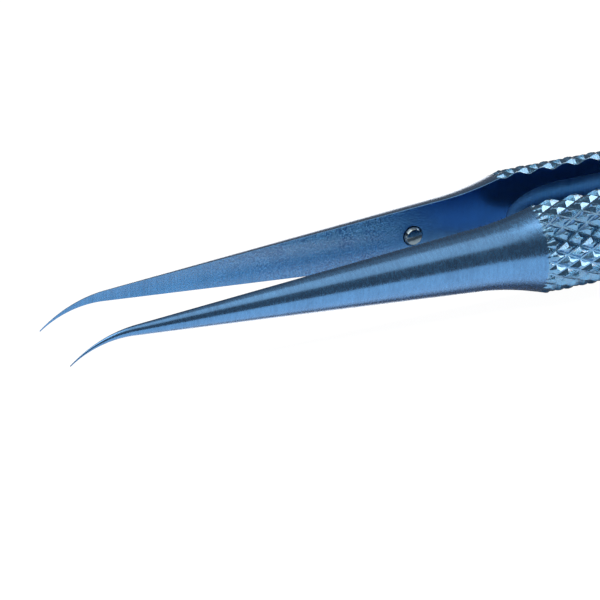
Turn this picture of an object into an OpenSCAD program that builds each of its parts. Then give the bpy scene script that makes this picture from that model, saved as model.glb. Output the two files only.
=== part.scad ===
// Precision tweezers with round knurled handles and fine down-turned points.
// They lie on edge: X runs from the points (-X) to the tail (+X), the arms
// open along Y and +Z is up. The origin is under the middle of the length,
// level with the lowest crests of the knurling. Units are millimetres.
//
// Each arm is a half-round bar. Its shapes are drawn once, for the left arm,
// in an arm frame: X is the distance from the point along the arm's axis, the
// flat inner side is the plane Y = 0 and the metal lies towards -Y. The right
// arm and the right spring are mirror images.

/* [Overall] */
// Length from the points to the end of the tail
overall_length = 125; // [120:1:140]
// Gap between the two points with the arms at rest
tip_opening = 7.75; // [6.5:0.25:9]
// Angle by which each arm leans outward towards its point
arm_splay = 0.61; // [0.2:0.01:0.8]

/* [Points] */
// Radius of the half-round section at the very point
point_radius = 0.06; // [0.05:0.01:0.12]
// Distance from the point at which the down-turned stretch begins
hook_length = 6.65; // [5:0.05:8]
// Radius of the bend of the down-turned stretch
hook_radius = 10.4; // [9:0.1:14]
// How hollow the taper of the down-turned stretch is, 1 for a straight taper
hook_taper = 1.25; // [1:0.05:1.4]

/* [Shank] */
// Distance from the point at which the cone ends and the flare begins
neck_position = 42; // [40:0.1:44]
// Diameter of the shank where the flare begins
neck_diameter = 6.5; // [6:0.05:6.8]
// Radius of the concave flare up to the handle
flare_radius = 26; // [20:0.1:30]

/* [Handle] */
// Diameter of the handle over the crests of the knurling
handle_diameter = 9.5; // [9:0.1:10]
// Distance from the point to the first row of knurling
knurl_start = 48.75; // [48.5:0.05:49]
// Depth of the knurling
knurl_depth = 0.4; // [0.3:0.05:0.5]
// Distance between two rows of crossings along the handle
knurl_pitch = 1.3; // [1.2:0.05:1.35]
// Number of rows of knurling, an even number
knurl_rows = 28; // [24:2:28]
// Number of grooves around a full circle
knurl_starts = 20; // [20:4:28]

/* [Pocket] */
// Width of the pocket milled into the flat side of each handle
pocket_width = 5.8; // [5:0.1:6]
// Length of the rounded front and rear ends of the pocket
pocket_end = 6; // [4:0.5:7]
// Distance from the start of the knurling back to the pocket's front end
pocket_front = 0.15; // [0:0.05:1]
// Distance from the pocket's rear end to the end of the knurling
pocket_rear = 1.5; // [1:0.1:3]

/* [Springs] */
// Distance from the point at which each spring leaves its arm
spring_start = 94; // [93:0.5:95]
// Thickness of the springs
spring_thickness = 0.8; // [0.6:0.05:1]
// Radius of the run-out between the handle and the spring
runout_radius = 9; // [8:0.5:10]
// Diameter of the bar behind the handle
spring_bar_diameter = 7; // [6.6:0.1:7.4]

/* [Tail] */
// Length over which the springs are joined at the tail
tail_length = 8; // [8:0.5:9]
// Height of the tail
tail_height = 5.4; // [5:0.1:6]
// Radius of the tail's corners
tail_corner = 1.4; // [1:0.1:1.8]
// Thickness of the spacer between the springs
spacer_thickness = 2; // [1.6:0.1:2.4]
// Diameter of the rivets' shanks
rivet_diameter = 1.2; // [1:0.1:1.4]
// Diameter of the rivets' countersunk heads
rivet_head_diameter = 2; // [1.8:0.1:2.2]
// Distance between the rivets
rivet_spacing = 3.4; // [3:0.1:3.6]

/* [Stop pin] */
// Diameter of the stop pin pressed into the right arm
pin_diameter = 1.9; // [1.6:0.1:2]
// Distance of the stop pin from the point
pin_position = 38.85; // [38:0.05:39]
// Depth of the stop pin's seat below the flat side
pin_depth = 1.8; // [1.5:0.1:2]
// Height of the stop pin's slightly domed end above the flat side
pin_height = 0.4; // [0.36:0.02:0.6]
// Length of the taper that leads up to the stop pin's end
pin_lead = 0.28; // [0.2:0.02:0.3]

/* [Hidden] */

$fn = 64;
titanium_blue = [0.25, 0.47, 0.72];
titanium_bare = [0.62, 0.62, 0.63];
polished_steel = [0.82, 0.83, 0.85];

over = 1;                                   // how far cutting shapes run past a face
handle_r = handle_diameter / 2;
root_r = handle_r - knurl_depth;            // radius at the bottom of the grooves
neck_r = neck_diameter / 2;
bar_r = spring_bar_diameter / 2;
cone_start_r = 0.04;                        // radius of the cone, carried on to the point
cone_slope = (neck_r - cone_start_r) / neck_position;

hook_angle = asin(hook_length / hook_radius);
hook_rings = 14;                            // sections along the down-turned stretch
hook_sides = 12;                            // sides of each half-round section
hook_fit = 0.98;                            // the hook's root lies just inside the cone's end

column_angle = 180 / knurl_starts;          // half a groove spacing around the handle
columns = knurl_starts / 2;                 // columns from the middle to each edge
knurl_end = knurl_start + knurl_pitch * knurl_rows;
// where the flare has risen to the bottom of the grooves
flare_end = neck_position + flare_radius
    * (sqrt(cone_slope * cone_slope + 2 * (root_r - neck_r) / flare_radius) - cone_slope);
handle_end = knurl_end + knurl_start - flare_end;
end_crest_shift = 0.25;                     // the flare cuts the end crests back by this much
end_crest_r = root_r + 0.79 * knurl_depth;
end_ring_r = root_r + 0.04;                 // the knurling ends just outside its neighbours
shoulder_length = 3.5;                      // from the handle's end to the bar behind it

tail_start = overall_length - tail_length;
spring_steps = 24;                          // straight pieces along each curved spring
rivet_x = tail_start + tail_length / 2;     // middle of the pair of rivets
rivet_head_height = (rivet_head_diameter - rivet_diameter) / 2;
tail_outside = spacer_thickness / 2 + spring_thickness;

// radius of the shank at a distance s from the point
function shank_r(s) = cone_start_r + cone_slope * s
    + (s > neck_position ? pow(s - neck_position, 2) / (2 * flare_radius) : 0);
// radius of the hook, a hollow taper from its root to the point
function hook_r(s) = point_radius
    + (hook_fit * shank_r(hook_length) - point_radius) * pow(max(0, s) / hook_length, hook_taper);

// a spot in the arm frame, s along the arm and d out from its flat side, in XY
function arm_spot(s, d) = [
    s * cos(arm_splay) + d * sin(arm_splay),
    s * sin(arm_splay) - d * cos(arm_splay) - tip_opening / 2
];

// the springs' inner side: a cubic curve from the arm to the spacer
spring_from = arm_spot(spring_start, 0);
spring_to = [tail_start, -spacer_thickness / 2];
spring_reach = tail_start - spring_start;
arm_direction = [cos(arm_splay), sin(arm_splay)];
function spring_point(u) =
    (2 * pow(u, 3) - 3 * pow(u, 2) + 1) * spring_from
    + (pow(u, 3) - 2 * pow(u, 2) + u) * spring_reach * arm_direction
    + (3 * pow(u, 2) - 2 * pow(u, 3)) * spring_to
    + (pow(u, 3) - pow(u, 2)) * spring_reach * [1, 0];
function spring_slope(u) =
    (6 * pow(u, 2) - 6 * u) * spring_from
    + (3 * pow(u, 2) - 4 * u + 1) * spring_reach * arm_direction
    + (6 * u - 6 * pow(u, 2)) * spring_to
    + (3 * pow(u, 2) - 2 * u) * spring_reach * [1, 0];
function outward(v) = [v.y, -v.x] / norm(v);
function spring_outside(u) = spring_point(u) + spring_thickness * outward(spring_slope(u));

// Puts a shape drawn in the arm frame in its place as the left arm's.
module place_left() {
    translate([-overall_length / 2, -tip_opening / 2, handle_r])
        rotate([0, 0, arm_splay])
            children();
}

// Puts a shape drawn from the points, with the arms opening along Y, in its place.
module place_middle() {
    translate([-overall_length / 2, 0, handle_r])
        children();
}

// Half of a body of revolution about X, on the -Y side. Its outline is drawn
// with the distance from the point across and the radius up.
module half_round() {
    rotate([0, 90, 0])
        rotate([0, 0, 180])
            rotate_extrude(angle = 180)
                rotate([0, 0, 90])
                    mirror([0, 1])
                        children();
}

// The turned shank: a long cone, then the concave flare up to the handle.
module shank() {
    flare_points = 10;
    half_round()
        polygon([
            [hook_length, 0],
            [hook_length, shank_r(hook_length)],
            for (i = [0 : flare_points])
                let (s = neck_position + (flare_end - neck_position) * i / flare_points)
                [s, shank_r(s)],
            [flare_end, 0]
        ]);
}

// One half-round section of the hook, standing square to its curved axis.
// The angle is measured back from the point's end of the bend.
function hook_ring(bend) =
    let (s = hook_length - hook_radius * sin(bend),
         z = -hook_radius * (1 - cos(bend)),
         r = hook_r(s))
    [for (i = [0 : hook_sides])
        let (a = 180 * i / hook_sides - 90)
        [s - r * sin(a) * sin(bend), -r * cos(a), z + r * sin(a) * cos(bend)]];

// The down-turned stretch that ends in the point.
module hook() {
    ring = hook_sides + 1;
    points = [for (j = [0 : hook_rings], p = hook_ring(hook_angle * j / hook_rings)) p];
    last = hook_rings * ring;
    faces = concat(
        [for (j = [0 : hook_rings - 1], i = [0 : hook_sides - 1])
            each [
                [j * ring + i, (j + 1) * ring + i, (j + 1) * ring + i + 1],
                [j * ring + i, (j + 1) * ring + i + 1, j * ring + i + 1]
            ]],
        [for (j = [0 : hook_rings - 1])
            each [
                [j * ring + hook_sides, (j + 1) * ring + hook_sides, (j + 1) * ring],
                [j * ring + hook_sides, (j + 1) * ring, j * ring]
            ]],
        [[for (i = [0 : hook_sides]) i]],
        [[for (i = [hook_sides : -1 : 0]) last + i]]
    );
    polyhedron(points, faces);
}

// Height of the knurled surface at the lattice's row k and column m. Crossings
// of grooves and crests of diamonds take turns. At the two ends the flare cuts
// the crests back, and one smooth ring closes the surface.
function knurl_s(k, m) =
    k < 0 ? flare_end :
    k > knurl_rows ? handle_end :
    (k == 0 && m % 2 != 0) ? knurl_start + end_crest_shift :
    (k == knurl_rows && m % 2 != 0) ? knurl_end - end_crest_shift :
    knurl_start + knurl_pitch * k;
function knurl_r(k, m) =
    (k < 0 || k > knurl_rows) ? end_ring_r :
    (k + m) % 2 == 0 ? root_r :
    (k == 0 || k == knurl_rows) ? end_crest_r :
    handle_r;

// The knurled handle, with one facet for each half of a lattice cell.
module knurled_handle() {
    across = 2 * columns + 1;
    rows = knurl_rows + 3;
    points = [for (k = [-1 : knurl_rows + 1], m = [-columns : columns])
        let (r = knurl_r(k, m), a = column_angle * m)
        [knurl_s(k, m), -r * cos(a), r * sin(a)]];
    faces = concat(
        [for (j = [0 : rows - 2], i = [0 : across - 2])
            let (a = j * across + i, b = a + across)
            each ((i + j + columns + 1) % 2 == 0
                ? [[a, b + 1, b], [a, a + 1, b + 1]]
                : [[a, a + 1, b], [b, a + 1, b + 1]])],
        [[for (i = [across - 1 : -1 : 0]) i]],
        [[for (i = [0 : across - 1]) (rows - 1) * across + i]],
        [for (j = [0 : rows - 2])
            let (a = j * across, b = a + across)
            [a, b, b + across - 1, b - 1]]
    );
    polyhedron(points, faces);
}

// The turned bar behind the handle, thinned to the spring by a large cutter.
module bar_behind_handle() {
    difference() {
        half_round()
            polygon([
                [handle_end, 0],
                [handle_end, root_r],
                [handle_end + shoulder_length, bar_r],
                [spring_start, bar_r],
                [spring_start, 0]
            ]);
        translate([spring_start, -(spring_thickness + runout_radius), 0])
            cylinder(r = runout_radius, h = 2 * handle_r, center = true);
    }
}

// The pocket milled into the flat side, a trough with long rounded ends.
module pocket() {
    end_points = 8;
    front = knurl_start + pocket_front;
    rear = knurl_end - pocket_rear;
    half_width = pocket_width / 2;
    rotate([0, 90, 0])
        rotate_extrude()
            rotate([0, 0, 90])
                mirror([0, 1])
                    polygon([
                        for (i = [0 : end_points])
                            let (a = 90 * i / end_points)
                            [front + pocket_end * (1 - cos(a)), half_width * sin(a)],
                        for (i = [end_points : -1 : 0])
                            let (a = 90 * i / end_points)
                            [rear - pocket_end * (1 - cos(a)), half_width * sin(a)]
                    ]);
}

// One whole arm in its own frame, without the seat of the stop pin.
module arm() {
    difference() {
        union() {
            shank();
            hook();
            knurled_handle();
            bar_behind_handle();
        }
        pocket();
    }
}

// The stop pin's outline turned about Y: a straight shank, a short taper and a
// slightly domed end.
module pin_shape() {
    pin_r = pin_diameter / 2;
    end_r = pin_r - 0.16;
    dome = 0.05;
    translate([pin_position, 0, 0])
        rotate([-90, 0, 0])
            rotate_extrude()
                polygon([
                    [0, -pin_depth],
                    [pin_r, -pin_depth],
                    [pin_r, pin_height - dome - pin_lead],
                    [end_r, pin_height - dome],
                    [0.5 * end_r, pin_height - 0.25 * dome],
                    [0, pin_height]
                ]);
}

// The outline of a spring or the spacer from the side, in X and Z.
module side_outline(from, half_height) {
    tail_half = tail_height / 2;
    polygon([
        [from, -half_height],
        [tail_start, -tail_half],
        [overall_length - tail_corner, -tail_half],
        [overall_length - tail_corner, tail_half],
        [tail_start, tail_half],
        [from, half_height]
    ]);
    translate([overall_length - 2 * tail_corner, -tail_half + tail_corner])
        square([2 * tail_corner, tail_height - 2 * tail_corner]);
    for (side = [-1, 1])
        translate([overall_length - tail_corner, side * (tail_half - tail_corner)])
            circle(r = tail_corner);
}

// Stands a side outline up and gives it a thickness along Y, middle at Y = 0.
module stand_up(width) {
    rotate([90, 0, 0])
        linear_extrude(width, center = true)
            children();
}

// One rivet along Y, flush with the outsides of both springs.
module rivet_shape(x) {
    translate([x, 0, 0])
        rotate([90, 0, 0])
            rotate_extrude()
                polygon([
                    [0, -tail_outside],
                    [rivet_head_diameter / 2, -tail_outside],
                    [rivet_diameter / 2, -tail_outside + rivet_head_height],
                    [rivet_diameter / 2, tail_outside - rivet_head_height],
                    [rivet_head_diameter / 2, tail_outside],
                    [0, tail_outside]
                ]);
}

module both_rivets() {
    rivet_shape(rivet_x - rivet_spacing / 2);
    rivet_shape(rivet_x + rivet_spacing / 2);
}

// The left spring: a curved leaf, then the straight stretch at the tail.
module spring() {
    start_half = sqrt(bar_r * bar_r - spring_thickness * spring_thickness);
    difference() {
        intersection() {
            translate([0, 0, -handle_r])
                linear_extrude(2 * handle_r)
                    polygon([
                        for (i = [0 : spring_steps]) spring_point(i / spring_steps),
                        [overall_length, -spacer_thickness / 2],
                        [overall_length, -tail_outside],
                        for (i = [spring_steps : -1 : 0]) spring_outside(i / spring_steps)
                    ]);
            stand_up(2 * tip_opening)
                side_outline(spring_start - over, start_half);
        }
        both_rivets();
    }
}

module left_arm() {
    color(titanium_blue)
        place_left()
            arm();
}

module right_arm() {
    color(titanium_blue)
        mirror([0, 1, 0])
            place_left()
                difference() {
                    arm();
                    pin_shape();
                }
}

module left_spring() {
    color(titanium_blue)
        place_middle()
            spring();
}

module right_spring() {
    color(titanium_blue)
        mirror([0, 1, 0])
            place_middle()
                spring();
}

module stop_pin() {
    color(polished_steel)
        mirror([0, 1, 0])
            place_left()
                pin_shape();
}

module tail_spacer() {
    color(titanium_bare)
        place_middle()
            difference() {
                stand_up(spacer_thickness)
                    side_outline(tail_start, tail_height / 2);
                both_rivets();
            }
}

module front_rivet() {
    color(titanium_bare)
        place_middle()
            rivet_shape(rivet_x - rivet_spacing / 2);
}

module rear_rivet() {
    color(titanium_bare)
        place_middle()
            rivet_shape(rivet_x + rivet_spacing / 2);
}

left_arm();
right_arm();
left_spring();
right_spring();
stop_pin();
tail_spacer();
front_rivet();
rear_rivet();
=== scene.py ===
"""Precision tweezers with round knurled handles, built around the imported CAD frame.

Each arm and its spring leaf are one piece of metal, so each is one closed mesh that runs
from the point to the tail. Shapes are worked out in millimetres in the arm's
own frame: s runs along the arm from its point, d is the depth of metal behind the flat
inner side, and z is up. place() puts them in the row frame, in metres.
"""
import math

import bmesh
import bpy
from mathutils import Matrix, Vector
from mathutils.geometry import delaunay_2d_cdt


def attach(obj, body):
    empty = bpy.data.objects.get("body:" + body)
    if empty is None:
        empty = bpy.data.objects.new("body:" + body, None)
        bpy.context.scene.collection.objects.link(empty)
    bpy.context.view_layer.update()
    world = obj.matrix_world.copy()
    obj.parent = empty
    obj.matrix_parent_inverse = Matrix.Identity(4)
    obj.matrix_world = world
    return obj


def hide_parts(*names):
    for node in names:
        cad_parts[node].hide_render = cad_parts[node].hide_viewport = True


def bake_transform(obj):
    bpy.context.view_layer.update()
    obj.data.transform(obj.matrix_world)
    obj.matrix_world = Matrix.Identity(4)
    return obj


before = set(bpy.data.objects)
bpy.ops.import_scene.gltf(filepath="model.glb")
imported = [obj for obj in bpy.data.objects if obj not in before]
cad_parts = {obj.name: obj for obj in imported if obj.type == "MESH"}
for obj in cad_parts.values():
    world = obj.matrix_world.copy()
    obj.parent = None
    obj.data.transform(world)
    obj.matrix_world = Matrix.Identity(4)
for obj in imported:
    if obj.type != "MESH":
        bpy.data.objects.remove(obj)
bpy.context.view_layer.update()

MM = 0.001

# ---- driving dimensions, in millimetres and degrees ------------------------------------
LENGTH = 125.0
TIP_OPENING = 7.75
SPLAY = math.radians(0.61)

HOOK_LENGTH = 6.65
HOOK_RADIUS = 10.4
HOOK_TAPER = 1.25              # above 1 for a taper that is hollow, not straight
POINT_RADIUS = 0.06

NECK = 42.0
NECK_RADIUS = 3.25
CONE_START_RADIUS = 0.04
FLARE_RADIUS = 26.0

HANDLE_RADIUS = 4.75
KNURL_START = 48.75
KNURL_DEPTH = 0.4
KNURL_PITCH = 1.3
KNURL_ROWS = 28
KNURL_STARTS = 20
GROOVE_FLAT = 0.125            # height up a full pyramid below which the groove's floor is flat
CREST_FROM = 0.75              # height at which its blunt crest begins
CREST_SLOPE = 0.3              # steepness of the crest against that of the groove's wall

POCKET_RADIUS = 2.9
POCKET_END = 6.0
POCKET_FRONT = KNURL_START + 0.15
POCKET_REAR = KNURL_START + KNURL_PITCH * KNURL_ROWS - 1.5

BAR_RADIUS = 3.5
SHOULDER_LENGTH = 3.5
RUNOUT_RADIUS = 9.0
SPRING_START = 94.0
SPRING_THICKNESS = 0.8
TAIL_START = 117.0
TAIL_HALF_HEIGHT = 2.7
TAIL_CORNER = 1.4
SPACER_THICKNESS = 2.0
SPACER_GAP = 0.005             # between the spacer and each leaf

RIVET_POSITIONS = (119.3, 122.7)
RIVET_RADIUS = 0.6
RIVET_HEAD_RADIUS = 1.0
RIVET_HEAD_DEPTH = 0.5         # depth of the countersink that the head fills
RIVET_RISE = 0.07              # height of the head's middle over the leaf

PIN_RADIUS = 0.95
PIN_POSITION = 38.85
PIN_DEPTH = 1.8
PIN_HEIGHT = 0.4
PIN_LEAD = 0.28                # length of the taper up to the pin's end
PIN_NARROWING = 0.16           # how much smaller the radius is at the end
PIN_DOME = 0.05                # rise of the end over its edge
PIN_CHAMFER = 0.1              # at the bottom of the seat
PIN_GAP = 0.07                 # clearance that shows as a dark ring around the pin

EDGE = 0.04                    # width of the broken edges

# ---- how finely the meshes are divided -------------------------------------------------
CELL_STEPS = 8                 # across one cell of the knurling
FLAT_COLUMNS = 16              # across the spring's flat outside
HOOK_SECTIONS = 44
CONE_SECTIONS = 60
FLARE_SECTIONS = 30
SHOULDER_SECTIONS = (10, 12, 24)    # before the cutter's mark, beside it, and along the bar
LEAF_SECTIONS = 44
TAIL_SECTIONS = 8
SPACER_SECTIONS = 6
CORNER_SECTIONS = 12
POCKET_SECTIONS = (24, 12)     # around each end and between them
POCKET_SIDES = 28
SEAT_SIDES = 48
PIN_DOME_RINGS = 12

# ---- camera ----------------------------------------------------------------------------
VIEW_AZIMUTH = math.radians(-24.25)
VIEW_ELEVATION = math.radians(27.05)
VIEW_DISTANCE = 450.45
VIEW_TARGET = (25.24, 0.0, 2.206)     # distance from the points, across, and above the floor
LENS_MM = 282.0


def place(s, y, z):
    """A spot s from the points, y across and z above the arms' axis, in the row frame."""
    return Vector((s - LENGTH / 2, y, z + HANDLE_RADIUS)) * MM


def add_camera():
    """A long lens that looks down on the points from the left arm's side."""
    back = Vector((
        math.sin(VIEW_AZIMUTH) * math.cos(VIEW_ELEVATION),
        -math.cos(VIEW_AZIMUTH) * math.cos(VIEW_ELEVATION),
        math.sin(VIEW_ELEVATION),
    ))
    s, y, height = VIEW_TARGET
    target = Vector((s - LENGTH / 2, y, height)) * MM
    data = bpy.data.cameras.new("camera")
    data.lens = LENS_MM
    data.clip_start = 0.01
    data.clip_end = 20.0
    camera = bpy.data.objects.new("camera", data)
    camera.location = target + back * VIEW_DISTANCE * MM
    camera.rotation_euler = back.to_track_quat("Z", "Y").to_euler()
    bpy.context.scene.collection.objects.link(camera)
    bpy.context.scene.camera = camera


# ---- profiles of one arm ---------------------------------------------------------------
CONE_SLOPE = (NECK_RADIUS - CONE_START_RADIUS) / NECK
ROOT_RADIUS = HANDLE_RADIUS - KNURL_DEPTH
KNURL_END = KNURL_START + KNURL_PITCH * KNURL_ROWS
FLARE_END = NECK + FLARE_RADIUS * (
    math.sqrt(CONE_SLOPE ** 2 + 2 * (ROOT_RADIUS - NECK_RADIUS) / FLARE_RADIUS) - CONE_SLOPE)
HANDLE_END = KNURL_END + KNURL_START - FLARE_END
COLUMNS = KNURL_STARTS * CELL_STEPS            # mesh columns over the half round
COLUMN_ANGLE = math.pi / KNURL_STARTS          # half a groove spacing around the handle
HOOK_ANGLE = math.asin(HOOK_LENGTH / HOOK_RADIUS)


def shank_radius(s):
    """The turned cone from the point, with the flare that runs up to the handle."""
    flare = (s - NECK) ** 2 / (2 * FLARE_RADIUS) if s > NECK else 0.0
    return CONE_START_RADIUS + CONE_SLOPE * s + flare


def shoulder_radius(s):
    """The turned shape behind the handle, falling from the knurling to the bar."""
    slope = (ROOT_RADIUS - BAR_RADIUS) / SHOULDER_LENGTH
    return max(BAR_RADIUS, ROOT_RADIUS - slope * (s - HANDLE_END))


def off_even(x):
    """Distance of x from the nearest even whole number, 0 in a groove and 1 on a crest."""
    return abs((x + 1) % 2 - 1)


def knurl_radius(s, angle):
    """Two families of V grooves that cross, with narrow flat floors and blunt crests."""
    u = (s - KNURL_START) / KNURL_PITCH
    v = angle / COLUMN_ANGLE
    height = max(0.0, min(off_even(u - v), off_even(u + v)) - GROOVE_FLAT)
    wall = CREST_FROM - GROOVE_FLAT
    if height > wall:
        height = wall + CREST_SLOPE * (height - wall)
    return ROOT_RADIUS + KNURL_DEPTH * height / (wall + CREST_SLOPE * (1 - CREST_FROM))


def arm_radius(s, angle):
    """Radius of the turned and knurled bar, at an angle up from its outermost line."""
    if s <= FLARE_END:
        return shank_radius(s)
    if s >= HANDLE_END:
        return shoulder_radius(s)
    return min(shank_radius(s), knurl_radius(s, angle), shoulder_radius(s))


def metal_depth(s):
    """Depth that the large cutter leaves behind the flat side."""
    ahead = SPRING_START - s
    if ahead >= RUNOUT_RADIUS:
        return math.inf
    if ahead <= 0:
        return SPRING_THICKNESS
    return SPRING_THICKNESS + RUNOUT_RADIUS - math.sqrt(RUNOUT_RADIUS ** 2 - ahead ** 2)


def broken_edge(size):
    """Width of a broken edge, less where the metal itself is thin."""
    return min(EDGE, 0.25 * size)


def uniform_outside(s, squeeze):
    """The outside of a section that the large cutter hasn't reached.

    squeeze is the share of the half round that the two broken edges leave to it.
    """
    spots = []
    for j in range(COLUMNS + 1):
        angle = math.pi * (j / COLUMNS - 0.5)
        radius = arm_radius(s, angle)
        spots.append((radius * math.cos(angle * squeeze), radius * math.sin(angle * squeeze)))
    return spots


def cut_outside(s, depth, squeeze):
    """The outside of a section with the cutter's flat across it, its corners broken."""
    radius = arm_radius(s, 0.0)
    limit = math.acos(min(1.0, depth / radius))
    corner_edge = broken_edge(radius * math.sin(limit))
    start, end = math.pi / 2 * squeeze, limit + corner_edge / radius
    side = (COLUMNS - FLAT_COLUMNS) // 2
    lower = []
    for j in range(side + 1):
        angle = -start + (start - end) * j / side
        lower.append((radius * math.cos(angle), radius * math.sin(angle)))
    half = radius * math.sin(limit) - corner_edge
    flat = [(depth, -half + 2 * half * j / (FLAT_COLUMNS - 2)) for j in range(FLAT_COLUMNS - 1)]
    return lower + flat + [(d, -z) for d, z in reversed(lower)]


def section(s):
    """Points (d, z) from the flat side's lower edge around the outside to its upper edge."""
    rim = arm_radius(s, math.pi / 2)
    edge = broken_edge(rim)
    squeeze = 1 - math.asin(edge / rim) / (math.pi / 2)
    depth = metal_depth(s)
    if depth > arm_radius(s, 0.0):
        outside = uniform_outside(s, squeeze)
    else:
        outside = cut_outside(s, depth, squeeze)
    return [(0.0, edge - rim)] + outside + [(0.0, rim - edge)]


# ---- the spring's curve ----------------------------------------------------------------
def arm_spot(s, d):
    """A spot of the left arm, s along it and d behind its flat side: (from the points, across)."""
    return (
        s * math.cos(SPLAY) + d * math.sin(SPLAY),
        s * math.sin(SPLAY) - d * math.cos(SPLAY) - TIP_OPENING / 2,
    )


def spring_spot(s, d):
    """The same for the spring, whose flat side follows a cubic curve to the spacer."""
    reach = TAIL_START - SPRING_START
    u = min(1.0, (s - SPRING_START) / reach)
    start, end = Vector(arm_spot(SPRING_START, 0.0)), Vector((TAIL_START, -SPACER_THICKNESS / 2))
    first, last = Vector((math.cos(SPLAY), math.sin(SPLAY))) * reach, Vector((reach, 0.0))
    spot = (
        start * (2 * u ** 3 - 3 * u ** 2 + 1) + first * (u ** 3 - 2 * u ** 2 + u)
        + end * (3 * u ** 2 - 2 * u ** 3) + last * (u ** 3 - u ** 2)
    )
    slope = (
        start * (6 * u ** 2 - 6 * u) + first * (3 * u ** 2 - 4 * u + 1)
        + end * (6 * u - 6 * u ** 2) + last * (3 * u ** 2 - 2 * u)
    ).normalized()
    return (
        spot.x + max(0.0, s - TAIL_START) + slope.y * d,
        spot.y - slope.x * d,
    )


def tail_half_height(s):
    """Half the height of the leaf and the spacer, with their two rounded rear corners."""
    share = min(1.0, (s - SPRING_START) / (TAIL_START - SPRING_START))
    half = BAR_RADIUS + (TAIL_HALF_HEIGHT - BAR_RADIUS) * share
    into_corner = s - (LENGTH - TAIL_CORNER)
    if into_corner > 0:
        half -= TAIL_CORNER - math.sqrt(max(0.0, TAIL_CORNER ** 2 - into_corner ** 2))
    return half


def corner_stations():
    """Stations around the tail's rounded corners, close together at the very end."""
    turns = spaced(0.0, math.pi / 2, CORNER_SECTIONS)
    return [LENGTH - TAIL_CORNER * (1 - math.sin(turn)) for turn in turns]


# ---- mesh helpers ----------------------------------------------------------------------
# each face's material, by its place in the list that an arm is given
TURNED, FLAT_SIDE, KNURLED, MILLED = range(4)


def spaced(start, end, count):
    """Values from start to end in count equal steps."""
    return [start + (end - start) * i / count for i in range(count + 1)]


def around_circle(count):
    """(cosine, sine) of count equal turns around a full circle."""
    angles = [2 * math.pi * j / count for j in range(count)]
    return [(math.cos(angle), math.sin(angle)) for angle in angles]


def ring_of(mesh, put, spots):
    """One vertex for each spot, put where the arm or the leaf is."""
    return [mesh.verts.new(put(*spot)) for spot in spots]


def skin(mesh, ring_a, ring_b, closed=False, row=None, material=TURNED):
    """Faces between two rings. In a row of the knurling they're split along the nearer groove."""
    for j in range(len(ring_a) if closed else len(ring_a) - 1):
        k = (j + 1) % len(ring_a)
        a, b, c, d = ring_a[j], ring_a[k], ring_b[k], ring_b[j]
        if row is None:
            faces = [(a, b, c, d)]
        else:
            u, v = (row + 0.5) / CELL_STEPS, (j - 0.5) / CELL_STEPS
            if off_even(u - v) < off_even(u + v):
                faces = [(a, b, c), (a, c, d)]
            else:
                faces = [(a, b, d), (b, c, d)]
        for face in faces:
            mesh.faces.new(face).material_index = material if row is None else KNURLED


def finished(name, mesh, materials, body=None, sharp=25.0, weld=1e-4):
    """Welds and closes a mesh drawn in millimetres, and makes it an object in metres."""
    bmesh.ops.remove_doubles(mesh, verts=mesh.verts, dist=weld)
    bmesh.ops.recalc_face_normals(mesh, faces=mesh.faces)
    for face in mesh.faces:
        face.smooth = True
    limit = math.radians(sharp)
    for edge in mesh.edges:
        edge.smooth = edge.calc_face_angle(0.0) < limit
    for vertex in mesh.verts:
        vertex.co = place(*vertex.co)
    data = bpy.data.meshes.new(name)
    mesh.to_mesh(data)
    mesh.free()
    for material in materials:
        data.materials.append(material)
    piece = bpy.data.objects.new(name, data)
    bpy.context.scene.collection.objects.link(piece)
    if body:
        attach(piece, body)
    return piece


# ---- one arm with its spring -----------------------------------------------------------
def hook_sections():
    """Sections (s, d, z) of the down-turned stretch, from the blunt point to its root."""
    shape = section(HOOK_LENGTH)
    root = shank_radius(HOOK_LENGTH)
    found = []
    for i in range(HOOK_SECTIONS):
        bend = HOOK_ANGLE * (1 - i / HOOK_SECTIONS)
        s = HOOK_LENGTH - HOOK_RADIUS * math.sin(bend)
        z = -HOOK_RADIUS * (1 - math.cos(bend))
        radius = POINT_RADIUS + (root - POINT_RADIUS) * (max(0.0, s) / HOOK_LENGTH) ** HOOK_TAPER
        # the very point is rounded by three sections: (share of the radius, shift inward)
        rounding = ((0.45, 0.0), (0.8, 0.3), (1.0, 0.75)) if i == 0 else ((1.0, 0.0),)
        for shrink, inward in rounding:
            scale = radius * shrink / root
            found.append([
                (s + radius * inward * math.cos(bend) - height * scale * math.sin(bend),
                 d * scale,
                 z + radius * inward * math.sin(bend) + height * scale * math.cos(bend))
                for d, height in shape
            ])
    return found


def runout_apex():
    """Where the large cutter first meets the turned shoulder."""
    low, high = SPRING_START - RUNOUT_RADIUS, SPRING_START
    for _ in range(40):
        middle = (low + high) / 2
        if metal_depth(middle) > shoulder_radius(middle):
            low = middle
        else:
            high = middle
    return high


def arm_stations():
    """(s, row of the knurling or None) for the sections from the hook's root to the spring."""
    step = KNURL_PITCH / CELL_STEPS
    before = int((KNURL_START - FLARE_END) / step)
    after = int((HANDLE_END - KNURL_END) / step)
    shoulder_end = HANDLE_END + SHOULDER_LENGTH
    apex = runout_apex()
    plain = spaced(HOOK_LENGTH, NECK, CONE_SECTIONS)
    plain += spaced(NECK, FLARE_END, FLARE_SECTIONS)[1:]
    rows = [
        (KNURL_START + step * i, i) for i in range(-before, KNURL_ROWS * CELL_STEPS + after + 1)]
    marks = (HANDLE_END, apex, shoulder_end, SPRING_START)
    behind = [HANDLE_END]
    for start, end, count in zip(marks, marks[1:], SHOULDER_SECTIONS):
        behind += spaced(start, end, count)[1:]
    return [(s, None) for s in plain] + rows + [(s, None) for s in behind]


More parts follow.
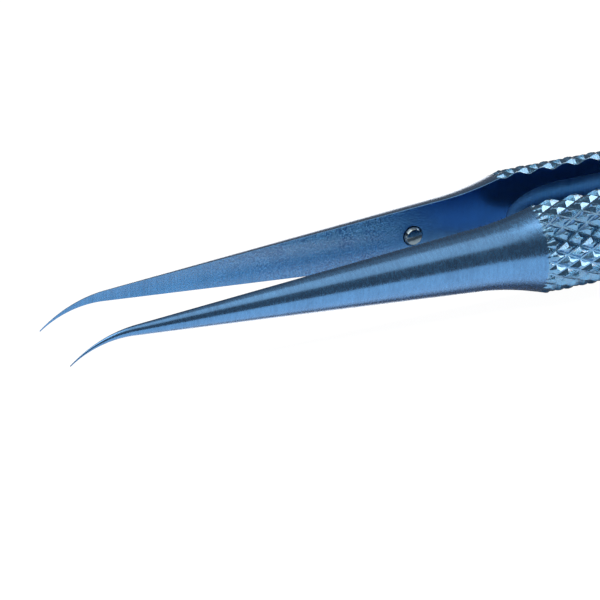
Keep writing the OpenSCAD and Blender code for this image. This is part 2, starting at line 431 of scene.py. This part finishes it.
def inside_loop(point, loop):
    """Whether a point is inside a closed outline, by counting crossings."""
    within = False
    for (x0, y0), (x1, y1) in zip(loop, loop[1:] + loop[:1]):
        if (y0 > point.y) != (y1 > point.y):
            if point.x < x0 + (x1 - x0) * (point.y - y0) / (y1 - y0):
                within = not within
    return within


def flat_side(mesh, put, outline, holes):
    """Fills the plane of the flat side inside its outline (s, z) and around its holes."""
    points, edges = [], []
    for loop in [outline] + holes:
        first, count = len(points), len(loop)
        edges += [(first + i, first + (i + 1) % count) for i in range(count)]
        points += [Vector(p) for p in loop]
    spots, _, faces, _, _, _ = delaunay_2d_cdt(points, edges, [], 1, 1e-6)
    vertices = [mesh.verts.new(put(p.x, 0.0, p.y)) for p in spots]
    for face in faces:
        centre = sum((spots[i] for i in face), Vector((0.0, 0.0))) / len(face)
        if not any(inside_loop(centre, hole) for hole in holes):
            mesh.faces.new([vertices[i] for i in face]).material_index = FLAT_SIDE


def pocket(mesh, put):
    """Adds the milled pocket's concave surface and returns its mouth as an outline (s, z)."""
    end_count, middle_count = POCKET_SECTIONS
    ends = [
        (POCKET_END * (1 - math.cos(turn)), POCKET_RADIUS * math.sin(turn))
        for turn in spaced(0.0, math.pi / 2, end_count)[1:]]
    profile = [(POCKET_FRONT + s, width) for s, width in ends]
    middle = spaced(POCKET_FRONT + POCKET_END, POCKET_REAR - POCKET_END, middle_count)[1:-1]
    profile += [(s, POCKET_RADIUS) for s in middle]
    profile += [(POCKET_REAR - s, width) for s, width in reversed(ends)]
    rings, lower, upper = [], [], []
    for s, width in profile:
        # the mouth's edge is broken, by less toward the pocket's tips
        rim = min(1.5 * EDGE, 0.3 * width)
        reach = math.acos(rim / width)
        edge = width + 0.8 * rim
        spots = [(s, 0.0, -edge)]
        for j in range(POCKET_SIDES + 1):
            angle = reach * (2 * j / POCKET_SIDES - 1)
            spots.append((s, width * math.cos(angle), width * math.sin(angle)))
        spots.append((s, 0.0, edge))
        rings.append(ring_of(mesh, put, spots))
        lower.append((s, -edge))
        upper.append((s, edge))
    for ring_a, ring_b in zip(rings, rings[1:]):
        skin(mesh, ring_a, ring_b, material=MILLED)
    tips = [(POCKET_FRONT - EDGE, 0.0), (POCKET_REAR + EDGE, 0.0)]
    for (s, z), ring in zip(tips, (rings[0], rings[-1])):
        tip = mesh.verts.new(put(s, 0.0, z))
        for a, b in zip(ring, ring[1:]):
            mesh.faces.new((tip, a, b)).material_index = MILLED
    return [tips[0]] + lower + [tips[1]] + list(reversed(upper))


def pin_seat(mesh, put):
    """Adds the drilled seat of the stop pin and returns its mouth as an outline (s, z)."""
    bore = PIN_RADIUS + PIN_GAP
    turns = around_circle(SEAT_SIDES)
    rings = []
    for radius, depth in ((bore + EDGE, 0.0), (bore, EDGE), (bore, PIN_DEPTH)):
        rings.append(ring_of(mesh, put, [
            (PIN_POSITION + radius * c, depth, radius * s) for c, s in turns]))
    for ring_a, ring_b in zip(rings, rings[1:]):
        skin(mesh, ring_a, ring_b, closed=True)
    mesh.faces.new(rings[-1])
    return [(PIN_POSITION + (bore + EDGE) * c, (bore + EDGE) * s) for c, s in turns]


def put_arm(side):
    """Maps a spot (s, d, z) of an arm to (s, y, z): side is 1 for the left arm, -1 for the right."""
    def put(s, d, z):
        x, y = arm_spot(s, d)
        return (x, side * y, z)
    return put


def put_spring(side):
    """The same for a spot of the arm's spring."""
    def put(s, d, z):
        x, y = spring_spot(s, d)
        return (x, side * y, z)
    return put


def build_arm(name, side, materials, with_seat):
    """One arm and its spring as one closed mesh, from the point to the tail."""
    mesh = bmesh.new()
    put, put_leaf = put_arm(side), put_spring(side)
    sections = [(spots, None) for spots in hook_sections()]
    sections += [([(s, d, z) for d, z in section(s)], row) for s, row in arm_stations()]
    rings = [ring_of(mesh, put, spots) for spots, _ in sections]
    rows = [row for _, row in sections]
    for i in range(len(rings) - 1):
        split = rows[i] if rows[i] is not None and rows[i + 1] is not None else None
        skin(mesh, rings[i], rings[i + 1], row=split)
    mesh.faces.new(rings[0])

    lower = [(spots[0][0], spots[0][2]) for spots, _ in sections]
    upper = [(spots[-1][0], spots[-1][2]) for spots, _ in sections]
    holes = [pocket(mesh, put)]
    if with_seat:
        holes.append(pin_seat(mesh, put))
    flat_side(mesh, put, lower + list(reversed(upper)), holes)

    shape = section(SPRING_START)
    leaf = [rings[-1]]
    stations = spaced(SPRING_START, TAIL_START, LEAF_SECTIONS)[1:]
    stations += spaced(TAIL_START, LENGTH - TAIL_CORNER, TAIL_SECTIONS)[1:]
    stations += corner_stations()[1:]
    for s in stations:
        scale = tail_half_height(s) / BAR_RADIUS
        leaf.append(ring_of(mesh, put_leaf, [(s, d, z * scale) for d, z in shape]))
    for ring_a, ring_b in zip(leaf, leaf[1:]):
        skin(mesh, ring_a, ring_b)
        inner_side = (ring_a[0], ring_a[-1], ring_b[-1], ring_b[0])
        mesh.faces.new(inner_side).material_index = FLAT_SIDE
    mesh.faces.new(leaf[-1])

    piece = finished(name, mesh, materials)
    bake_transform(piece)
    return piece


# ---- small pieces ----------------------------------------------------------------------
def turned(mesh, profile, spot, around=64):
    """A closed shape of revolution from (radius, along) pairs, starting and ending on its axis."""
    turns = around_circle(around)
    rings = [
        [mesh.verts.new(spot(radius * c, radius * s, along)) for c, s in turns]
        for radius, along in profile[1:-1]]
    for ring_a, ring_b in zip(rings, rings[1:]):
        skin(mesh, ring_a, ring_b, closed=True)
    for (_, along), ring in ((profile[0], rings[0]), (profile[-1], rings[-1])):
        tip = mesh.verts.new(spot(0.0, 0.0, along))
        for j in range(around):
            mesh.faces.new((tip, ring[j], ring[(j + 1) % around]))


def build_pin(material):
    """The stop pin, pressed into the right arm: a short taper and a slightly domed end."""
    mesh = bmesh.new()
    end_radius = PIN_RADIUS - PIN_NARROWING
    edge = PIN_HEIGHT - PIN_DOME
    profile = [(0.0, PIN_DEPTH), (PIN_RADIUS - PIN_CHAMFER, PIN_DEPTH),
               (PIN_RADIUS, PIN_DEPTH - PIN_CHAMFER), (PIN_RADIUS, -(edge - PIN_LEAD))]
    for i in range(PIN_DOME_RINGS):
        radius = end_radius * (1 - i / PIN_DOME_RINGS)
        profile.append((radius, -(edge + PIN_DOME * (1 - (radius / end_radius) ** 2))))
    profile.append((0.0, -PIN_HEIGHT))
    put = put_arm(-1)
    turned(mesh, profile, lambda a, b, along: put(PIN_POSITION + a, along, b))
    piece = finished("stop_pin_dome", mesh, [material], "right_arm", sharp=40.0)
    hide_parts("stop_pin")
    return piece


def build_spacer(material):
    """The block between the two leaves, with broken edges along it."""
    mesh = bmesh.new()
    half = SPACER_THICKNESS / 2 - SPACER_GAP
    stations = spaced(TAIL_START, LENGTH - TAIL_CORNER, SPACER_SECTIONS) + corner_stations()[1:]
    rings = []
    for s in stations:
        height = tail_half_height(s)
        corners = [(-half, -height + EDGE), (-half + EDGE, -height), (half - EDGE, -height),
                   (half, -height + EDGE), (half, height - EDGE), (half - EDGE, height),
                   (-half + EDGE, height), (-half, height - EDGE)]
        rings.append([mesh.verts.new((s, y, z)) for y, z in corners])
    for ring_a, ring_b in zip(rings, rings[1:]):
        skin(mesh, ring_a, ring_b, closed=True)
    mesh.faces.new(rings[0])
    mesh.faces.new(rings[-1])
    piece = finished("tail_block", mesh, [material], "tail")
    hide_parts("tail_spacer")
    return piece


def build_rivet(name, node, s, material):
    """A rivet through both leaves and the spacer, its two heads set and dressed nearly flush."""
    mesh = bmesh.new()
    outside = SPACER_THICKNESS / 2 + SPRING_THICKNESS
    dome = [(share * RIVET_HEAD_RADIUS, outside + rise * RIVET_RISE)
            for share, rise in ((0.0, 1.0), (0.4, 0.94), (0.7, 0.75), (0.9, 0.4), (1.0, 0.0))]
    head = dome + [(RIVET_HEAD_RADIUS, outside - 0.2 * RIVET_HEAD_DEPTH),
                   (RIVET_RADIUS, outside - RIVET_HEAD_DEPTH)]
    profile = head + [(r, -along) for r, along in reversed(head)]
    turned(mesh, profile, lambda a, b, along: (s + a, along, b), around=40)
    piece = finished(name, mesh, [material], "tail", sharp=35.0)
    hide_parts(node)
    return piece


# ---- materials -------------------------------------------------------------------------
BLUE_LOW = (0.024, 0.14, 0.33)
BLUE_HIGH = (0.052, 0.22, 0.48)
# painted sheen: the lighter blue painted over the upper part of the flat side
BLUE_PAINTED_SHEEN = (0.12, 0.35, 0.6)
KNURL_LOW = (0.035, 0.165, 0.36)
KNURL_HIGH = (0.1, 0.3, 0.5)
# painted shade: the darker blue painted into the flat side's pits
SHADED_PIT_BLUE = (0.012, 0.075, 0.22)
# painted shade: the pocket's blues are darker than the outside's, standing for the shade in the
# recess
SHADED_POCKET_LOW = (0.026, 0.115, 0.28)
SHADED_POCKET_HIGH = (0.045, 0.155, 0.36)
# painted shade: the pin's steel is painted much darker than steel, for the dark surroundings it
# reflects
SHADED_STEEL_LOW = (0.15, 0.2, 0.23)
SHADED_STEEL_HIGH = (0.2, 0.26, 0.29)
BARE_LOW = (0.42, 0.41, 0.4)
BARE_HIGH = (0.58, 0.56, 0.54)
ETCHED_TO = (34.0, 43.0)       # the etched grain fades out between these distances
PITTED_FROM = (12.0, 30.0)     # and its pits, darkened with painted shade, fade in between these
SHEEN_HEIGHTS = (-0.3, 1.5)     # the painted sheen on the flat side's upper part fades in between these heights over the axis
SHEEN_SHARE = 0.8
OXIDE_INDEX = 1.6              # the clear oxide film adds an untinted reflection
KNURL_OXIDE_INDEX = 1.7


def new_material(name):
    """A material with its node tree and its main shader."""
    material = bpy.data.materials.new(name)
    material.use_nodes = True
    tree = material.node_tree
    return material, tree, tree.nodes["Principled BSDF"]


def add(tree, kind, **inputs):
    """A shader node: plain names set its properties, names of sockets set their values."""
    made = tree.nodes.new("ShaderNode" + kind)
    for key, value in inputs.items():
        label = key.replace("_", " ")
        if label in made.inputs:
            made.inputs[label].default_value = value
        else:
            setattr(made, key, value)
    return made


def noise_along(tree, scale, detail=3.0, roughness=0.6, shift=0.0):
    """Noise stretched by scale, in features per metre along x, y and z."""
    coords = add(tree, "TexCoord")
    mapping = add(tree, "Mapping", Scale=scale, Location=(shift, shift, shift))
    noise = add(tree, "TexNoise", Scale=1.0, Detail=detail, Roughness=roughness)
    tree.links.new(coords.outputs["Object"], mapping.inputs["Vector"])
    tree.links.new(mapping.outputs["Vector"], noise.inputs["Vector"])
    return noise.outputs["Fac"]


def spread(tree, value, low, high, start=0.35, end=0.65):
    """Maps the middle of a noise to the range from low to high."""
    node = add(tree, "MapRange", From_Min=start, From_Max=end, To_Min=low, To_Max=high)
    tree.links.new(value, node.inputs["Value"])
    return node.outputs["Result"]


def mixed(tree, factor, low, high):
    """A colour between low and high, each a plain colour or another node's output."""
    node = tree.nodes.new("ShaderNodeMix")
    node.data_type = "RGBA"
    for socket, colour in ((node.inputs[6], low), (node.inputs[7], high)):
        if isinstance(colour, tuple):
            socket.default_value = (*colour, 1.0)
        else:
            tree.links.new(colour, socket)
    tree.links.new(factor, node.inputs[0])
    return node.outputs[2]


def summed(tree, *weighted):
    """A weighted sum of values, clamped only at the end by what it feeds."""
    total = None
    for value, weight in weighted:
        part = add(tree, "Math", operation="MULTIPLY")
        part.inputs[1].default_value = weight
        tree.links.new(value, part.inputs[0])
        if total is None:
            total = part.outputs[0]
            continue
        both = add(tree, "Math", operation="ADD")
        tree.links.new(total, both.inputs[0])
        tree.links.new(part.outputs[0], both.inputs[1])
        total = both.outputs[0]
    return total


def bump(tree, height, shader, distance):
    """Lets a height from 0 to 1 stand for a relief of the given depth in metres."""
    node = add(tree, "Bump", Strength=1.0, Distance=distance)
    tree.links.new(height, node.inputs["Height"])
    tree.links.new(node.outputs["Normal"], shader.inputs["Normal"])


def product(tree, a, b):
    """Two values multiplied."""
    node = add(tree, "Math", operation="MULTIPLY")
    tree.links.new(a, node.inputs[0])
    tree.links.new(b, node.inputs[1])
    return node.outputs[0]


def along_axis(tree, axis, low, high, start, end):
    """A value that goes from low to high between two places on an axis."""
    coords = add(tree, "TexCoord")
    parts = add(tree, "SeparateXYZ")
    tree.links.new(coords.outputs["Object"], parts.inputs[0])
    return spread(tree, parts.outputs[axis], low, high, start, end)


def along_arm(tree, low, high, start, end):
    """The same, between two distances from the points."""
    return along_axis(tree, "X", low, high, place(start, 0, 0).x, place(end, 0, 0).x)


def toward_points(tree):
    """1 along the front of the arm, fading to 0 between the stop pin and the flare."""
    return along_arm(tree, 1.0, 0.0, *ETCHED_TO)


def pits_and_sheen_stretch(tree):
    """Where the flat side is pitted most and carries its painted sheen and pit shade, from the
    middle of the cone to the stop pin.
    """
    return product(tree, along_arm(tree, 0.0, 1.0, *PITTED_FROM), toward_points(tree))


def lengthwise_gloss(tree, shader, amount):
    """Turning marks run around the arm, so its highlights spread along it."""
    along = add(tree, "CombineXYZ", X=1.0, Y=0.0, Z=0.0)
    tree.links.new(along.outputs[0], shader.inputs["Tangent"])
    shader.inputs["Anisotropic"].default_value = amount


def oxide_film(shader, roughness, index=OXIDE_INDEX):
    """The clear film that anodising leaves over the coloured metal."""
    shader.inputs["Coat Weight"].default_value = 1.0
    shader.inputs["Coat IOR"].default_value = index
    shader.inputs["Coat Roughness"].default_value = roughness


def turned_titanium():
    """Anodised titanium with the fine, short marks of turning around it."""
    material, tree, shader = new_material("blue_titanium_turned")
    shader.inputs["Metallic"].default_value = 1.0
    marks = noise_along(tree, (5000.0, 2400.0, 2400.0))
    lines = noise_along(tree, (3000.0, 420.0, 420.0), shift=3.0)
    cloudy = noise_along(tree, (260.0, 260.0, 260.0), detail=2.0, shift=7.0)
    tone = summed(tree, (marks, 0.4), (lines, 0.3), (cloudy, 0.3))
    colour = mixed(tree, spread(tree, tone, 0.0, 1.0, 0.38, 0.62), BLUE_LOW, BLUE_HIGH)
    tree.links.new(colour, shader.inputs["Base Color"])
    tree.links.new(spread(tree, marks, 0.2, 0.32), shader.inputs["Roughness"])
    lengthwise_gloss(tree, shader, 0.5)
    oxide_film(shader, 0.24)
    bump(tree, summed(tree, (marks, 1.0), (lines, 0.4)), shader, 0.0000025)
    return material


def flat_titanium():
    """The flat inner side: marks across it, over a mottled, slightly pitted grain, with a painted
    sheen on its upper part and painted shade in its pits.
    """
    material, tree, shader = new_material("blue_titanium_flat_side")
    shader.inputs["Metallic"].default_value = 1.0
    marks = noise_along(tree, (7000.0, 400.0, 400.0), shift=5.0)
    cloudy = noise_along(tree, (300.0, 300.0, 300.0), detail=2.0, shift=7.0)
    grain = noise_along(tree, (4600.0, 4600.0, 4600.0), detail=4.0, roughness=0.7, shift=11.0)
    etched = product(tree, grain, toward_points(tree))
    tone = summed(tree, (marks, 0.4), (grain, 0.2), (cloudy, 0.4))
    colour = mixed(tree, spread(tree, tone, 0.0, 1.0, 0.38, 0.62), BLUE_LOW, BLUE_HIGH)
    stretch = pits_and_sheen_stretch(tree)
    # painted sheen: a lighter blue is painted over the upper part of the pitted stretch, where light
    # falls on it
    upper = along_axis(
        tree, "Z", 0.0, SHEEN_SHARE, *(place(0, 0, height).z for height in SHEEN_HEIGHTS))
    colour = mixed(tree, product(tree, stretch, upper), colour, BLUE_PAINTED_SHEEN)
    # painted shade: the pits are painted a darker blue, where shade falls in them
    patches = product(tree, stretch, spread(tree, cloudy, 0.5, 1.0, 0.42, 0.56))
    pit_shade = product(tree, patches, spread(tree, grain, 0.0, 1.0, 0.44, 0.58))
    colour = mixed(tree, pit_shade, colour, SHADED_PIT_BLUE)
    tree.links.new(colour, shader.inputs["Base Color"])
    tree.links.new(spread(tree, etched, 0.19, 0.3, 0.0, 0.6), shader.inputs["Roughness"])
    oxide_film(shader, 0.15)
    pitted = product(tree, grain, stretch)
    bump(tree, summed(tree, (marks, 0.02), (etched, 0.3), (pitted, 1.0)), shader, 0.00006)
    return material


def knurled_titanium():
    """The knurling: facets left uneven by the rolling tool."""
    material, tree, shader = new_material("blue_titanium_knurled")
    shader.inputs["Metallic"].default_value = 1.0
    grain = noise_along(tree, (3500.0, 3500.0, 3500.0), detail=4.0, roughness=0.7, shift=2.0)
    torn = noise_along(tree, (5200.0, 1700.0, 1700.0), detail=2.0, shift=9.0)
    tone = summed(tree, (grain, 0.6), (torn, 0.4))
    colour = mixed(tree, spread(tree, tone, 0.0, 1.0, 0.38, 0.62), KNURL_LOW, KNURL_HIGH)
    tree.links.new(colour, shader.inputs["Base Color"])
    tree.links.new(spread(tree, grain, 0.12, 0.24), shader.inputs["Roughness"])
    oxide_film(shader, 0.12, KNURL_OXIDE_INDEX)
    bump(tree, summed(tree, (grain, 1.0), (torn, 1.3)), shader, 0.00003)
    return material


def milled_titanium():
    """The milled pocket, left duller by the coarse feed marks across it and painted darker than the
    outside as painted shade in the recess.
    """
    material, tree, shader = new_material("blue_titanium_milled")
    shader.inputs["Metallic"].default_value = 1.0
    feed = noise_along(tree, (4200.0, 240.0, 240.0), shift=4.0)
    cloudy = noise_along(tree, (420.0, 420.0, 420.0), detail=2.0, shift=8.0)
    tone = summed(tree, (feed, 0.6), (cloudy, 0.4))
    # painted shade: the pocket's colours are darker than the turned outside's
    colour = mixed(tree, spread(tree, tone, 0.0, 1.0, 0.38, 0.62), SHADED_POCKET_LOW, SHADED_POCKET_HIGH)
    tree.links.new(colour, shader.inputs["Base Color"])
    tree.links.new(spread(tree, feed, 0.3, 0.45), shader.inputs["Roughness"])
    bump(tree, feed, shader, 0.000003)
    return material


def polished_steel():
    """The stop pin: polished, with a faint haze, its steel painted far darker than steel as painted
    shade.
    """
    material, tree, shader = new_material("polished_steel_pin")
    shader.inputs["Metallic"].default_value = 1.0
    haze = noise_along(tree, (2500.0, 2500.0, 2500.0))
    # painted shade: the dark steel colour stands in for the shade around the pin
    tree.links.new(mixed(tree, haze, SHADED_STEEL_LOW, SHADED_STEEL_HIGH), shader.inputs["Base Color"])
    tree.links.new(spread(tree, haze, 0.06, 0.14), shader.inputs["Roughness"])
    bump(tree, haze, shader, 0.000001)
    return material


def bare_titanium():
    """The spacer and the rivets: satin, with marks of grinding across them."""
    material, tree, shader = new_material("satin_bare_titanium")
    shader.inputs["Metallic"].default_value = 1.0
    marks = noise_along(tree, (900.0, 900.0, 9000.0))
    tree.links.new(mixed(tree, marks, BARE_LOW, BARE_HIGH), shader.inputs["Base Color"])
    tree.links.new(spread(tree, marks, 0.28, 0.42), shader.inputs["Roughness"])
    bump(tree, marks, shader, 0.000002)
    return material


def floor_material():
    """Pale matt paper, which reflections see as it is lit."""
    material, tree, shader = new_material("pale_floor")
    shader.inputs["Roughness"].default_value = 0.7
    shader.inputs["Specular IOR Level"].default_value = 0.0
    paper = noise_along(tree, (900.0, 900.0, 900.0))
    tree.links.new(mixed(tree, paper, (0.88, 0.88, 0.88), (0.9, 0.9, 0.9)),
                   shader.inputs["Base Color"])
    shader.inputs["Emission Color"].default_value = (1.0, 1.0, 1.0, 1.0)
    shader.inputs["Emission Strength"].default_value = FLOOR_GLOW
    # seen directly, it is a plain lit background, so the object casts only a faint shadow
    direct = add(tree, "LightPath")
    share = add(tree, "Math", operation="MULTIPLY")
    share.inputs[1].default_value = FLOOR_EVENNESS
    tree.links.new(direct.outputs["Is Camera Ray"], share.inputs[0])
    plain = add(tree, "Emission", Strength=FLOOR_BRIGHTNESS)
    mix = add(tree, "MixShader")
    tree.links.new(share.outputs[0], mix.inputs[0])
    tree.links.new(shader.outputs[0], mix.inputs[1])
    tree.links.new(plain.outputs[0], mix.inputs[2])
    tree.links.new(mix.outputs[0], tree.nodes["Material Output"].inputs["Surface"])
    return material


# ---- studio ----------------------------------------------------------------------------
FLOOR_SIZE = 12.0
FLOOR_GLOW = 0.05
FLOOR_EVENNESS = 0.93
FLOOR_BRIGHTNESS = 1.05
WORLD_COLOUR = (0.2, 0.2, 0.205)
BACKDROP_COLOUR = (0.86, 0.86, 0.86)    # of the pale backdrop that is seen past the floor
# place, size and power of each lamp
KEY = ((-0.31, -0.04, 0.65), 0.56, 2.5)
SIDE = ((0.19, -0.21, 0.65), 0.6, 0.9)
HALO = ((-0.05, -0.06, 0.8), 1.25, 0.9)
FRONT = ((-0.65, -0.07, 0.46), 0.26, 0.8)
REAR = ((0.86, -0.25, 0.36), 0.6, 4.6)
LAMP_COLOUR = (1.0, 0.87, 0.78)     # the softboxes are slightly warm
FLOOR_FILL = ((0.0, 0.0, 1.4), 0.7, 26.0)


def add_lamp(name, spot, size, power):
    """A round soft lamp that faces the middle of the object."""
    light = bpy.data.lights.new(name, "AREA")
    light.shape = "DISK"
    light.size = size
    light.energy = power
    lamp = bpy.data.objects.new(name, light)
    lamp.location = spot
    lamp.rotation_euler = Vector(spot).to_track_quat("Z", "Y").to_euler()
    bpy.context.scene.collection.objects.link(lamp)
    return lamp


def add_studio():
    """The floor, the world and the lamps."""
    mesh = bmesh.new()
    half = FLOOR_SIZE / 2
    corners = [(-half, -half), (half, -half), (half, half), (-half, half)]
    mesh.faces.new([mesh.verts.new((x, y, 0.0)) for x, y in corners])
    data = bpy.data.meshes.new("floor")
    mesh.to_mesh(data)
    mesh.free()
    data.materials.append(floor_material())
    floor = bpy.data.objects.new("floor", data)
    bpy.context.scene.collection.objects.link(floor)

    world = bpy.data.worlds.new("studio")
    world.use_nodes = True
    tree = world.node_tree
    direct = add(tree, "LightPath").outputs["Is Camera Ray"]
    tree.links.new(mixed(tree, direct, WORLD_COLOUR, BACKDROP_COLOUR),
                   tree.nodes["Background"].inputs["Color"])
    bpy.context.scene.world = world

    for name, lamp in (("key_softbox", KEY), ("side_softbox", SIDE), ("halo_softbox", HALO),
                       ("front_softbox", FRONT), ("rear_softbox", REAR)):
        softbox = add_lamp(name, *lamp)
        softbox.data.color = LAMP_COLOUR
        softbox.visible_diffuse = False
    add_lamp("floor_fill", *FLOOR_FILL).visible_glossy = False
    bpy.context.scene.view_settings.view_transform = "Standard"


def build():
    """The whole scene: camera, arms, small pieces and studio."""
    add_camera()
    blue = [turned_titanium(), flat_titanium(), knurled_titanium(), milled_titanium()]
    bare = bare_titanium()
    for name, side, body, spring, with_seat in (
        ("left_arm_metal", 1, "left_arm", "left_spring", False),
        ("right_arm_metal", -1, "right_arm", "right_spring", True),
    ):
        piece = build_arm(name, side, blue, with_seat)
        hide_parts(body, spring)
    build_pin(polished_steel())
    build_spacer(bare)
    for name, node, s in (("front_rivet_set", "front_rivet", RIVET_POSITIONS[0]),
                          ("rear_rivet_set", "rear_rivet", RIVET_POSITIONS[1])):
        build_rivet(name, node, s, bare)
    add_studio()


build()
